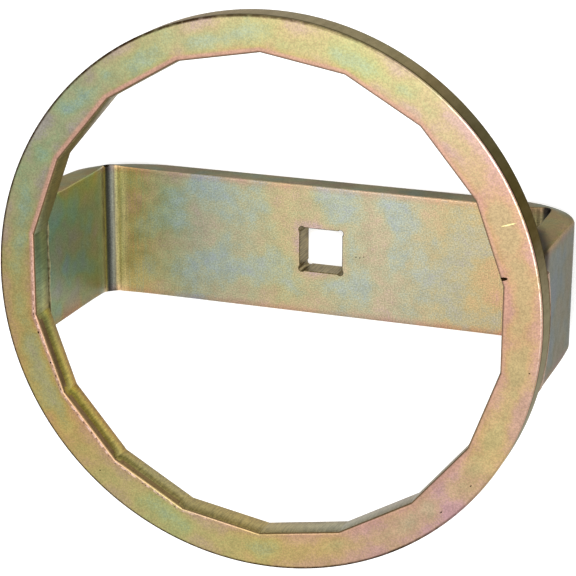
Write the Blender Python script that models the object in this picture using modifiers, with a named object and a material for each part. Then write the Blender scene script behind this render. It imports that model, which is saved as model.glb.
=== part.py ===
"""Oil filter wrench for large spin-on filters.

A steel plate ring with eighteen flats inside grips the filter.  A flat bar, bent into a wide U, is
welded across the back of the ring and carries a square drive hole for a ratchet.

Frame: metres, +Z along the drive axis from the strap towards the ring.  The strap's flat back lies
on z = 0 and the drive hole is centred on the Z axis.  X runs along the strap.
"""

import math

import bmesh
import bpy

# Driving dimensions of the ring.
FLAT_COUNT = 18
RING_ACROSS_FLATS = 0.136
RING_OUTER_DIAMETER = 0.158
RING_THICKNESS = 0.0085
RING_EDGE_RADIUS = 0.0007
OVERALL_HEIGHT = 0.059

# Driving dimensions of the bent strap.
STRAP_LENGTH = 0.1535
STRAP_WIDTH = 0.0392
STRAP_THICKNESS = 0.008
STRAP_EDGE_RADIUS = 0.0010
BEND_OUTER_RADIUS = 0.017
BEND_INNER_RADIUS = 0.0030
PUNCH_MARK_DEPTH = 0.0005
PUNCH_MARK_WIDTH = 0.0042
LEG_END_CHAMFER = 0.0025

# Square drive hole for a half-inch ratchet, with a small round relief in each corner.
DRIVE_HOLE_SIDE = 0.0131
RELIEF_RADIUS = 0.00095
RELIEF_INSET = 0.00065

# Weld runs between the strap's legs and the back of the ring.
OUTER_WELD_LEG = 0.0034
OUTER_WELD_TOP = 0.0140
OUTER_WELD_BOTTOM = -0.0192
OUTER_WELD_BULGE = 0.00025
INNER_WELD_RADIUS = 0.0010
INNER_WELD_HALF_LENGTH = 0.0165

# Fit and mesh fineness.
FACE_GAP = 0.0003
RING_SEGMENTS = 144
EDGE_SEGMENTS = 2
OUTER_BEND_STEPS = 12
INNER_BEND_STEPS = 6
RELIEF_STEPS = 8
WELD_CAP_STEPS = 4
SHARP_ANGLE = math.radians(30)
EDGE_ANGLE_LIMIT = math.radians(50)
CUTTER_OVERHANG = 0.005

# Places worked out from the driving dimensions.
RING_RADIUS = RING_OUTER_DIAMETER / 2
RING_BACK = OVERALL_HEIGHT - RING_THICKNESS
LEG_OUTER = STRAP_LENGTH / 2
LEG_INNER = LEG_OUTER - STRAP_THICKNESS
LEG_END = RING_BACK - FACE_GAP

FINISHES = {
    "ring_plating": ((0.60, 0.52, 0.34), 0.42),
    "strap_plating": ((0.52, 0.50, 0.36), 0.40),
    "weld_plating": ((0.42, 0.40, 0.33), 0.48),
}


def clear_scene():
    """Remove whatever objects the open file holds."""
    for item in list(bpy.data.objects):
        bpy.data.objects.remove(item, do_unlink=True)


def new_collection(name):
    """Make a collection in the scene and return it."""
    collection = bpy.data.collections.new(name)
    bpy.context.scene.collection.children.link(collection)
    return collection


def new_finish(name):
    """Make the metallic material of one plated surface."""
    colour, roughness = FINISHES[name]
    material = bpy.data.materials.new(name)
    material.use_nodes = True
    shader = material.node_tree.nodes["Principled BSDF"]
    shader.inputs["Base Color"].default_value = (*colour, 1.0)
    shader.inputs["Roughness"].default_value = roughness
    shader.inputs["Metallic"].default_value = 1.0
    material.diffuse_color = (*colour, 1.0)
    return material


def arc(centre, radius, start, end, steps):
    """Points of a circular arc in the plane, from one angle in degrees to another."""
    points = []
    for step in range(steps + 1):
        angle = math.radians(start + (end - start) * step / steps)
        points.append((centre[0] + radius * math.cos(angle), centre[1] + radius * math.sin(angle)))
    return points


def plate_from_outline(name, outline, depth, collection):
    """Extrude a closed flat outline to both sides of its plane and return it as a closed mesh."""
    curve = bpy.data.curves.new(name, "CURVE")
    curve.dimensions = "2D"
    curve.fill_mode = "BOTH"
    curve.extrude = depth / 2
    spline = curve.splines.new("POLY")
    spline.points.add(len(outline) - 1)
    for point, (across, up) in zip(spline.points, outline):
        point.co = (across, up, 0.0, 1.0)
    spline.use_cyclic_u = True
    drawn = bpy.data.objects.new(name + "_outline", curve)
    collection.objects.link(drawn)
    bpy.context.view_layer.update()
    evaluated = drawn.evaluated_get(bpy.context.evaluated_depsgraph_get())
    mesh = bpy.data.meshes.new_from_object(evaluated)
    bpy.data.objects.remove(drawn, do_unlink=True)
    shape = bmesh.new()
    shape.from_mesh(mesh)
    bmesh.ops.remove_doubles(shape, verts=shape.verts, dist=0.000001)
    bmesh.ops.recalc_face_normals(shape, faces=shape.faces)
    shape.to_mesh(mesh)
    shape.free()
    solid = bpy.data.objects.new(name, mesh)
    collection.objects.link(solid)
    return solid


def prism(name, sides, radius, depth, collection):
    """Make a closed upright prism with a corner on the Y axis."""
    mesh = bpy.data.meshes.new(name)
    shape = bmesh.new()
    bmesh.ops.create_cone(shape, cap_ends=True, segments=sides, radius1=radius, radius2=radius, depth=depth)
    shape.to_mesh(mesh)
    shape.free()
    solid = bpy.data.objects.new(name, mesh)
    collection.objects.link(solid)
    return solid


def hide_as_cutter(solid):
    """Keep a cutting shape out of the model proper."""
    solid.display_type = "WIRE"
    solid.hide_render = True


def combine(solid, cutter, operation):
    """Cut a solid with another one, or keep only what they share."""
    step = solid.modifiers.new(cutter.name, "BOOLEAN")
    step.operation = operation
    step.solver = "EXACT"
    step.object = cutter


def round_edges(solid, radius):
    """Break the square edges of a solid with a small radius."""
    step = solid.modifiers.new("edge_round", "BEVEL")
    step.width = radius
    step.segments = EDGE_SEGMENTS
    step.limit_method = "ANGLE"
    step.angle_limit = EDGE_ANGLE_LIMIT


def finish_piece(solid, material):
    """Shade a piece smooth with sharp corners and give it its material."""
    solid.data.shade_smooth()
    solid.data.set_sharp_from_angle(angle=SHARP_ANGLE)
    solid.data.materials.append(material)


def stand_up(solid):
    """Turn a solid drawn flat so that its outline lies in the XZ plane."""
    solid.rotation_euler = (math.pi / 2, 0.0, 0.0)


def socket_ring(parts, cutters, material):
    """Make the plate ring: a round disc with an eighteen-sided opening, one flat at each end of X."""
    ring = prism("socket_ring", RING_SEGMENTS, RING_RADIUS, RING_THICKNESS, parts)
    ring.location.z = RING_BACK + RING_THICKNESS / 2
    corner_radius = RING_ACROSS_FLATS / 2 / math.cos(math.pi / FLAT_COUNT)
    opening = prism("ring_opening", FLAT_COUNT, corner_radius, RING_THICKNESS + CUTTER_OVERHANG, cutters)
    opening.location.z = ring.location.z
    hide_as_cutter(opening)
    combine(ring, opening, "DIFFERENCE")
    round_edges(ring, RING_EDGE_RADIUS)
    finish_piece(ring, material)
    return ring


def half_strap_outline():
    """Outline of the strap's right half, from the middle of its back round to the middle of its face."""
    outer_centre = (LEG_OUTER - BEND_OUTER_RADIUS, BEND_OUTER_RADIUS)
    sunk_face = STRAP_THICKNESS - PUNCH_MARK_DEPTH
    inner_centre = (LEG_INNER - BEND_INNER_RADIUS, sunk_face + BEND_INNER_RADIUS)
    outline = arc(outer_centre, BEND_OUTER_RADIUS, -90, 0, OUTER_BEND_STEPS)
    outline.append((LEG_OUTER, LEG_END - LEG_END_CHAMFER))
    outline.append((LEG_OUTER - LEG_END_CHAMFER, LEG_END))
    outline.append((LEG_INNER, LEG_END))
    outline += arc(inner_centre, BEND_INNER_RADIUS, 0, -90, INNER_BEND_STEPS)
    outline.append((LEG_INNER - PUNCH_MARK_WIDTH, STRAP_THICKNESS))
    return outline


def drive_hole_outline():
    """Outline of the square hole, with a round relief bulging out at each corner."""
    reach = DRIVE_HOLE_SIDE / 2 - RELIEF_INSET
    meet = math.degrees(math.acos(RELIEF_INSET / RELIEF_RADIUS))
    outline = []
    for corner in range(4):
        turn = math.radians(90 * corner + 45)
        centre = (reach * math.sqrt(2) * math.cos(turn), reach * math.sqrt(2) * math.sin(turn))
        outline += arc(centre, RELIEF_RADIUS, 90 * corner - meet, 90 * corner + 90 + meet, RELIEF_STEPS)
    return outline


def drive_strap(parts, cutters, material):
    """Make the flat bar, bent up at both ends, with the drive hole through its middle."""
    right = half_strap_outline()
    left = [(-across, up) for across, up in reversed(right)]
    strap = plate_from_outline("drive_strap", right + left, STRAP_WIDTH, parts)
    stand_up(strap)
    hole = plate_from_outline("drive_hole", drive_hole_outline(), STRAP_THICKNESS + CUTTER_OVERHANG, cutters)
    hole.location.z = STRAP_THICKNESS / 2
    hide_as_cutter(hole)
    combine(strap, hole, "DIFFERENCE")
    round_edges(strap, STRAP_EDGE_RADIUS)
    finish_piece(strap, material)
    return strap


def outer_weld_outline():
    """Section of the run that fills the groove between the leg's chamfer and the ring's back rim."""
    diagonal_gap = FACE_GAP * math.sqrt(2)
    top = RING_BACK - FACE_GAP
    root = (LEG_OUTER - LEG_END_CHAMFER + diagonal_gap, top)
    face = LEG_OUTER + FACE_GAP
    shoulder = (face, top - (face - root[0]))
    toe = (face, top - OUTER_WELD_LEG)
    rim = (RING_RADIUS, top)
    outline = [root, shoulder, toe]
    for step in range(1, WELD_CAP_STEPS):
        along = step / WELD_CAP_STEPS
        bulge = OUTER_WELD_BULGE * math.sin(math.pi * along)
        outline.append((toe[0] + (rim[0] - toe[0]) * along + bulge, toe[1] + (rim[1] - toe[1]) * along - bulge))
    outline.append(rim)
    return outline


def outer_weld(name, side, parts, rim_guide, material):
    """Make the ground-off run on the outer face of one leg."""
    outline = [(side * across, up) for across, up in outer_weld_outline()]
    run = plate_from_outline(name, outline, OUTER_WELD_TOP - OUTER_WELD_BOTTOM, parts)
    stand_up(run)
    run.location.y = (OUTER_WELD_TOP + OUTER_WELD_BOTTOM) / 2
    combine(run, rim_guide, "INTERSECT")
    finish_piece(run, material)
    return run


def inner_weld(name, side, parts, material):
    """Make the thin root run in the corner between one leg's inner face and the ring's back."""
    corner = (LEG_INNER - FACE_GAP, RING_BACK - FACE_GAP)
    outline = [corner] + arc(corner, INNER_WELD_RADIUS, 180, 270, WELD_CAP_STEPS)
    outline = [(side * across, up) for across, up in outline]
    run = plate_from_outline(name, outline, 2 * INNER_WELD_HALF_LENGTH, parts)
    stand_up(run)
    finish_piece(run, material)
    return run


def main():
    """Build the wrench."""
    clear_scene()
    parts = new_collection("oil_filter_wrench")
    cutters = new_collection("cutters")
    ring_finish = new_finish("ring_plating")
    strap_finish = new_finish("strap_plating")
    weld_finish = new_finish("weld_plating")
    socket_ring(parts, cutters, ring_finish)
    drive_strap(parts, cutters, strap_finish)
    rim_guide = prism("rim_guide", RING_SEGMENTS, RING_RADIUS, 2 * OVERALL_HEIGHT, cutters)
    hide_as_cutter(rim_guide)
    for word, side in (("left", -1), ("right", 1)):
        outer_weld("outer_weld_" + word, side, parts, rim_guide, weld_finish)
        inner_weld("inner_weld_" + word, side, parts, weld_finish)


main()
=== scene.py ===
"""Looks of the oil filter wrench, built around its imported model.

The wrench is a plate ring with eighteen flats inside, welded to a flat bar that was punched with a
square drive hole and bent up at both ends.  Everything is plated with yellow zinc, whose film shifts
from pink through gold and green to blue-grey with its thickness.

Frame: metres, +Z from the strap's flat back towards the ring, X along the strap.
"""

import functools
import logging
import math
import random
from collections.abc import Callable
from dataclasses import dataclass, field
from enum import Enum, IntEnum

import bmesh
import bpy
from mathutils import Matrix, Vector


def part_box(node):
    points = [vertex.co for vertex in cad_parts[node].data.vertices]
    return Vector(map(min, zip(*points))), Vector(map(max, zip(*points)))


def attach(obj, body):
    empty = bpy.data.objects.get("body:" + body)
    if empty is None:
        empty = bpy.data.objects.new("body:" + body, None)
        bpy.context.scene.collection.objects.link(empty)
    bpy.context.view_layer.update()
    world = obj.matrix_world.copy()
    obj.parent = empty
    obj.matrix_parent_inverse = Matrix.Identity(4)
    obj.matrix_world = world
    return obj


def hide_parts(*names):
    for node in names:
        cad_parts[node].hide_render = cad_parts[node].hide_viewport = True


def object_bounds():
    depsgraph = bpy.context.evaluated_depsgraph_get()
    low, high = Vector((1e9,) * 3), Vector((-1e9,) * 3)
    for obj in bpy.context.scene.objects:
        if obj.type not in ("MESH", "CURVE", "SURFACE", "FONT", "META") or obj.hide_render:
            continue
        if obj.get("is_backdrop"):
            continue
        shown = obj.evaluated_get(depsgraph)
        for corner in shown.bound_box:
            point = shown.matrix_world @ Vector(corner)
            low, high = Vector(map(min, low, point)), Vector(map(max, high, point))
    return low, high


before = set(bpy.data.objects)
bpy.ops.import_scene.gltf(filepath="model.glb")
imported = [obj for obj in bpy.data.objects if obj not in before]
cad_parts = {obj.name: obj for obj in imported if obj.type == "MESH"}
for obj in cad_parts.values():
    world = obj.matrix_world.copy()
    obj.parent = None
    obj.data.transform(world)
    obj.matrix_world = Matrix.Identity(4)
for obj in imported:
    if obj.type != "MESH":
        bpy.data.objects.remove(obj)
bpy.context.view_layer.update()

LOG = logging.getLogger("wrench")
MM = 0.001
TOUCH = 0.01 * MM
"""Two places closer than this count as one."""

LONG_EDGE = 10 * MM
"""Edges longer than this run the whole length of a weld."""

Triple = tuple[float, float, float]
Colour = Triple
Stops = tuple[tuple[float, Colour], ...]
Levels = tuple[tuple[float, float], ...]
Socket = bpy.types.NodeSocket


def tone(red: int, green: int, blue: int) -> Colour:
    """Turn a display colour of 0 to 255 into the linear colour that a shader takes."""
    shares = (channel / 255 for channel in (red, green, blue))
    return tuple(s / 12.92 if s <= 0.04045 else ((s + 0.055) / 1.055) ** 2.4 for s in shares)


class Slot(Enum):
    """Material slots of the record."""

    RING = "ring_plating"
    STRAP = "strap_plating"
    WELD = "weld_plating"


class RingSide(IntEnum):
    """Material numbers of the ring's surfaces."""

    FACE = 0
    FLAT = 1
    RIM = 2


class StrapSide(IntEnum):
    """Material numbers of the strap's surfaces."""

    INSIDE = 0
    OUTSIDE = 1
    SHEARED = 2
    HOLE = 3


# ---------------------------------------------------------------------------------------------
# Edit-mode handwork shared by all the pieces.


@dataclass(frozen=True)
class Knock:
    """One small notch or scratch: its middle, its length, width and depth, and how it is turned."""

    place: Vector
    size: Vector
    turn: float = 0.0

    @staticmethod
    def polar(reach: float, angle: float, level: float, size: Vector, lean: float = 0.0) -> "Knock":
        """Place a mark by its distance from the axis and its angle, lying along the circle plus a lean."""
        place = Vector((reach * math.cos(angle), reach * math.sin(angle), level))
        return Knock(place, size, angle + math.pi / 2 + lean)


class Bench:
    """Picks parts of a mesh by place and works on them with Blender's own operators."""

    @staticmethod
    def clear() -> None:
        """Leave nothing selected, so that an operator meets only what is picked next."""
        bpy.ops.object.select_all(action="DESELECT")

    @staticmethod
    def take(piece: bpy.types.Object) -> None:
        """Make one piece the only selected and active object."""
        Bench.clear()
        piece.select_set(True)
        bpy.context.view_layer.objects.active = piece

    @staticmethod
    def open(piece: bpy.types.Object) -> None:
        """Take a piece into edit mode."""
        Bench.take(piece)
        bpy.ops.object.mode_set(mode="EDIT")

    @staticmethod
    def close() -> None:
        """Go back to object mode."""
        bpy.ops.object.mode_set(mode="OBJECT")

    @staticmethod
    def pick(piece: bpy.types.Object, kind: str, wanted: Callable[..., bool]) -> None:
        """Select the edges, faces or points that pass a test.

        Args:
            piece: The mesh object in edit mode.
            kind: EDGE, FACE or VERT.
            wanted: Test of an edge's two ends, of a face's centre and normal, or of a point's place.
        """
        bpy.ops.mesh.select_mode(type=kind)
        bpy.ops.mesh.select_all(action="DESELECT")
        sheet = bmesh.from_edit_mesh(piece.data)
        sheet.normal_update()
        parts, measure = {
            "EDGE": (sheet.edges, lambda edge: (edge.verts[0].co, edge.verts[1].co)),
            "FACE": (sheet.faces, lambda face: (face.calc_center_median(), face.normal)),
            "VERT": (sheet.verts, lambda point: (point.co,)),
        }[kind]
        for part in [part for part in parts if wanted(*measure(part))]:
            part.select_set(True)
        if kind == "VERT":
            sheet.select_flush(True)
        bmesh.update_edit_mesh(piece.data)

    @staticmethod
    def round_picked(radius: float, segments: int) -> None:
        """Round the selected edges to a radius."""
        bpy.ops.mesh.bevel(offset=radius, segments=segments, profile=0.5, affect="EDGES", clamp_overlap=False)

    @staticmethod
    def slice(place: Triple, normal: Triple) -> None:
        """Cut a line across the whole open mesh where a plane meets it."""
        bpy.ops.mesh.select_all(action="SELECT")
        bpy.ops.mesh.bisect(plane_co=place, plane_no=normal)

    @staticmethod
    def cut(piece: bpy.types.Object, tool: bpy.types.Object, operation: str = "DIFFERENCE") -> None:
        """Cut a piece with a tool shape, apply the cut and throw the tool away.

        Args:
            piece: The mesh object to cut.
            tool: The closed mesh object to cut it with.
            operation: DIFFERENCE to take the tool's shape away, INTERSECT to keep only what they share.
        """
        Bench.take(piece)
        step = piece.modifiers.new("cut", "BOOLEAN")
        step.operation = operation
        step.solver = "EXACT"
        step.material_mode = "TRANSFER"
        step.object = tool
        bpy.ops.object.modifier_apply(modifier=step.name)
        bpy.data.objects.remove(tool, do_unlink=True)

    @staticmethod
    def knock(piece: bpy.types.Object, knocks: list[Knock], material: bpy.types.Material) -> None:
        """Press a group of small marks into a piece.

        Args:
            piece: The mesh object to mark.
            knocks: The marks.
            material: Finish of the bottoms of the marks.
        """
        tools = []
        for knock in knocks:
            Bench.clear()
            bpy.ops.mesh.primitive_ico_sphere_add(
                subdivisions=1, radius=0.5, location=knock.place, rotation=(0, 0, knock.turn)
            )
            tool = bpy.context.active_object
            tool.scale = knock.size
            tool.data.materials.append(material)
            tools.append(tool)
        Bench.clear()
        for tool in tools:
            tool.select_set(True)
        bpy.context.view_layer.objects.active = tools[0]
        bpy.ops.object.join()
        Bench.cut(piece, bpy.context.active_object)

    @staticmethod
    def settle(piece: bpy.types.Object, smooth_angle: float) -> None:
        """Put a piece's place into its mesh and shade it smooth up to an angle.

        Args:
            piece: The finished mesh object, in object mode.
            smooth_angle: Largest angle between two faces that still shades smooth, in radians.
        """
        Bench.take(piece)
        bpy.ops.object.transform_apply(location=True, rotation=True, scale=True)
        bpy.ops.object.shade_smooth_by_angle(angle=smooth_angle)
        step = piece.modifiers.new("flat_faces_stay_flat", "WEIGHTED_NORMAL")
        step.mode = "FACE_AREA"
        step.weight = 50
        step.keep_sharp = True
        bpy.ops.object.modifier_apply(modifier=step.name)
        Bench.clear()


def hand_in(piece: bpy.types.Object, node: str) -> None:
    """Let a finished piece stand for its CAD node and report it.

    Args:
        piece: The finished mesh object.
        node: Name of the CAD node that it replaces.
    """
    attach(piece, "root")
    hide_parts(node)
    triangles = sum(len(face.vertices) - 2 for face in piece.data.polygons)
    LOG.info("%s stands for %s with %d triangles", piece.name, node, triangles)


# ---------------------------------------------------------------------------------------------
# Finishes.

NEUTRAL = 0.8
"""What a film tint counts as no tint at all, so that every tint stays below one."""

TINTS: Stops = (
    (0.00, (0.90, 0.71, 0.86)),
    (0.28, (0.89, 0.78, 0.64)),
    (0.50, (0.80, 0.82, 0.64)),
    (0.74, (0.70, 0.84, 0.86)),
    (0.88, (0.70, 0.80, 0.99)),
    (1.00, (0.82, 0.76, 0.94)),
)
"""How the plating's film tints the metal as it thickens: pink, gold, green, teal, blue, violet."""

CLOUD_RANGE = (0.3, 0.7)
"""Where nearly all of a cloudy pattern's values lie."""

STREAK_RANGE = (0.35, 0.65)
"""A tighter range, for patterns that change more sharply from one tone to the other."""


@dataclass(frozen=True)
class Cloud:
    """One layer of a cloudy pattern: its size, how far it swings, where it starts and its detail."""

    size: float
    amount: float
    shift: Triple = (0, 0, 0)
    detail: float = 2.0


@dataclass(frozen=True)
class Fade:
    """A stretch over which something fades out, and how strong it is before that."""

    start: float
    end: float
    strength: float = 1.0


class NodeSheet:
    """A material's node sheet, with one short method for each kind of node that the finishes use."""

    def __init__(self, name: str, edge_tint: Colour = (0.7, 0.7, 0.7)) -> None:
        """Start a metallic material of that name, with a tint for what it mirrors at a slant."""
        self.material = bpy.data.materials.new(name)
        self.material.use_nodes = True
        self.tree = self.material.node_tree
        self.shader = self.tree.nodes["Principled BSDF"]
        self.shader.inputs["Metallic"].default_value = 1.0
        self.shader.inputs["Specular Tint"].default_value = (*edge_tint, 1.0)
        self.place = self.tree.nodes.new("ShaderNodeTexCoord").outputs["Object"]
        split = self.tree.nodes.new("ShaderNodeSeparateXYZ")
        self.tree.links.new(self.place, split.inputs[0])
        self.x, self.y, self.z = split.outputs

    def plug(self, target: Socket, value: Socket | float | Colour) -> None:
        """Give an input a number or colour, or link it to an output."""
        if isinstance(value, bpy.types.NodeSocket):
            self.tree.links.new(value, target)
        elif isinstance(value, tuple) and target.type == "RGBA":
            target.default_value = (*value, 1.0)
        else:
            target.default_value = value

    def math(self, operation: str, first: Socket | float, second: Socket | float = 0.0) -> Socket:
        """Work out one sum of two numbers and return its output."""
        node = self.tree.nodes.new("ShaderNodeMath")
        node.operation = operation
        self.plug(node.inputs[0], first)
        self.plug(node.inputs[1], second)
        return node.outputs[0]

    def total(self, *values: Socket | float) -> Socket:
        """Add several numbers."""
        return functools.reduce(functools.partial(self.math, "ADD"), values)

    def product(self, *values: Socket | float) -> Socket:
        """Multiply several numbers."""
        return functools.reduce(functools.partial(self.math, "MULTIPLY"), values)

    def less(self, value: Socket | float, taken: Socket | float) -> Socket:
        """Take one number away from another."""
        return self.math("SUBTRACT", value, taken)

    def off(self, value: Socket, middle: Socket | float = 0.0) -> Socket:
        """Return how far a value is from a middle, on either side."""
        return self.math("ABSOLUTE", self.less(value, middle))

    def span(self, value: Socket, start: float, end: float, low: float = 0.0, high: float = 1.0) -> Socket:
        """Turn a stretch of a value smoothly into another range, held level beyond both ends.

        Args:
            value: The value to read.
            start: Where the result is low.
            end: Where the result is high.
            low: Result at the start.
            high: Result at the end.

        Returns:
            The output with the mapped value.
        """
        node = self.tree.nodes.new("ShaderNodeMapRange")
        node.interpolation_type = "SMOOTHSTEP"
        self.plug(node.inputs["Value"], value)
        for socket, number in zip(node.inputs[1:5], (start, end, low, high)):
            socket.default_value = number
        return node.outputs[0]

    def fade(self, value: Socket, fade: Fade) -> Socket:
        """Fade out along a stretch of a value."""
        return self.span(value, fade.start, fade.end, fade.strength, 0.0)

    def spread(self, pattern: Socket, low: float, high: float) -> Socket:
        """Stretch a cloudy pattern smoothly between two levels."""
        return self.span(pattern, *CLOUD_RANGE, low, high)

    def share(self, value: Socket, start: float, end: float) -> Socket:
        """Return how far a value is along a stretch, from 0 to 1 and held level beyond both ends."""
        node = self.tree.nodes.new("ShaderNodeMapRange")
        self.plug(node.inputs["Value"], value)
        node.inputs["From Min"].default_value = start
        node.inputs["From Max"].default_value = end
        return node.outputs[0]

    def noise(
        self, size: float, detail: float = 2.0, stretch: Triple = (1, 1, 1), shift: Triple = (0, 0, 0)
    ) -> Socket:
        """Lay a cloudy pattern over the piece.

        Args:
            size: Size of one cloud, in metres.
            detail: How many finer layers ride on it.
            stretch: How much longer the clouds are along each axis.
            shift: Where the pattern starts, in clouds.

        Returns:
            The output with a value around one half.
        """
        mapping = self.tree.nodes.new("ShaderNodeMapping")
        self.plug(mapping.inputs["Vector"], self.place)
        mapping.inputs["Scale"].default_value = [1 / (size * length) for length in stretch]
        mapping.inputs["Location"].default_value = shift
        node = self.tree.nodes.new("ShaderNodeTexNoise")
        self.plug(node.inputs["Vector"], mapping.outputs[0])
        node.inputs["Scale"].default_value = 1.0
        node.inputs["Detail"].default_value = detail
        return node.outputs["Fac"]

    def swing(self, cloud: Cloud) -> Socket:
        """Return a cloudy value that swings as far below zero as above it."""
        pattern = self.noise(cloud.size, cloud.detail, shift=cloud.shift)
        return self.spread(pattern, -cloud.amount, cloud.amount)

    def ramp(self, value: Socket, stops: Stops) -> Socket:
        """Read a colour off a row of colour stops."""
        node = self.tree.nodes.new("ShaderNodeValToRGB")
        row = node.color_ramp.elements
        while len(row) < len(stops):
            row.new(1.0)
        for element, (position, colour) in zip(row, stops):
            element.position = position
            element.color = (*colour, 1.0)
        self.plug(node.inputs[0], value)
        return node.outputs[0]

    def level(self, value: Socket, stops: Levels) -> Socket:
        """Read a number off a row of numbered stops."""
        return self.ramp(value, tuple((at, (number, number, number)) for at, number in stops))

    def mix(
        self, factor: Socket | float, under: Socket | Colour, over: Socket | Colour, mode: str = "MIX"
    ) -> Socket:
        """Lay one colour over another.

        Args:
            factor: How much of the upper colour shows.
            under: The lower colour.
            over: The upper colour.
            mode: Blender's name for the way that they mix.

        Returns:
            The output with the mixed colour.
        """
        node = self.tree.nodes.new("ShaderNodeMix")
        node.data_type = "RGBA"
        node.blend_type = mode
        self.plug(node.inputs[0], factor)
        self.plug(node.inputs[6], under)
        self.plug(node.inputs[7], over)
        return node.outputs[2]

    def multiply(self, under: Socket | Colour, over: Socket | Colour) -> Socket:
        """Multiply one colour by another."""
        return self.mix(1.0, under, over, "MULTIPLY")

    def streaked(self, pattern: Socket, dark: Colour, light: Colour) -> Socket:
        """Go from one tone to another wherever a pattern does."""
        return self.mix(self.span(pattern, *STREAK_RANGE), dark, light)

    def tinted(self, base: Socket | Colour, film: Socket) -> Socket:
        """Tint a colour with a film of some thickness."""
        return self.multiply(base, self.ramp(film, TINTS))

    def shade(self, colour: Socket | Colour, strength: Socket | float) -> Socket:
        """Make a colour lighter or darker by a factor."""
        grey = self.tree.nodes.new("ShaderNodeCombineColor")
        for socket in grey.inputs[:3]:
            self.plug(socket, strength)
        return self.multiply(colour, grey.outputs[0])

    def bump(self, height: Socket, strength: float, depth: float, under: Socket | None = None) -> Socket:
        """Raise the surface by a pattern.

        Args:
            height: The pattern.
            strength: Share of the effect, 0 to 1.
            depth: Height of the pattern, in metres.
            under: Another bump that this one rides on.

        Returns:
            The output with the bumped normal.
        """
        node = self.tree.nodes.new("ShaderNodeBump")
        node.inputs["Strength"].default_value = strength
        node.inputs["Distance"].default_value = depth
        self.plug(node.inputs["Height"], height)
        if under is not None:
            self.plug(node.inputs["Normal"], under)
        return node.outputs[0]

    def finish(self, colour: Socket, roughness: Socket | float, normal: Socket) -> bpy.types.Material:
        """Plug the finished colour, roughness and bumped normal into the metal's shader."""
        self.plug(self.shader.inputs["Base Color"], colour)
        self.plug(self.shader.inputs["Roughness"], roughness)
        self.plug(self.shader.inputs["Normal"], normal)
        return self.material


@dataclass(frozen=True)
class Grain:
    """The fine sandy grain that all the plated steel shows."""

    size: float = 0.42 * MM
    contrast: float = 0.16
    strength: float = 0.5
    depth: float = 0.012 * MM
    roughness: float = 0.40
    roughness_spread: float = 0.10
    gloss_size: float = 4 * MM
    speckle_range: tuple[float, float] = (0.25, 0.75)

    def speckle(self, sheet: NodeSheet, base: Socket | Colour) -> Socket:
        """Make a colour vary in brightness from grain to grain."""
        fine = sheet.noise(self.size, 1.0)
        low, high = (1 - self.contrast) / NEUTRAL, (1 + self.contrast) / NEUTRAL
        return sheet.shade(base, sheet.span(fine, *self.speckle_range, low, high))

    def relief(self, sheet: NodeSheet) -> Socket:
        """Return the bumped normal of the grain."""
        return sheet.bump(sheet.noise(self.size, 2.0, shift=(7, 3, 5)), self.strength, self.depth)

    def gloss(self, sheet: NodeSheet) -> Socket:
        """Return a roughness that varies in soft patches."""
        patches = sheet.noise(self.gloss_size, 3.0, shift=(2, 9, 4))
        low = self.roughness - self.roughness_spread / 2
        return sheet.spread(patches, low, low + self.roughness_spread)

    def coat(self, sheet: NodeSheet, base: Socket | Colour) -> bpy.types.Material:
        """Finish a material with the grain's speckle, gloss and relief."""
        return sheet.finish(self.speckle(sheet, base), self.gloss(sheet), self.relief(sheet))


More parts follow.
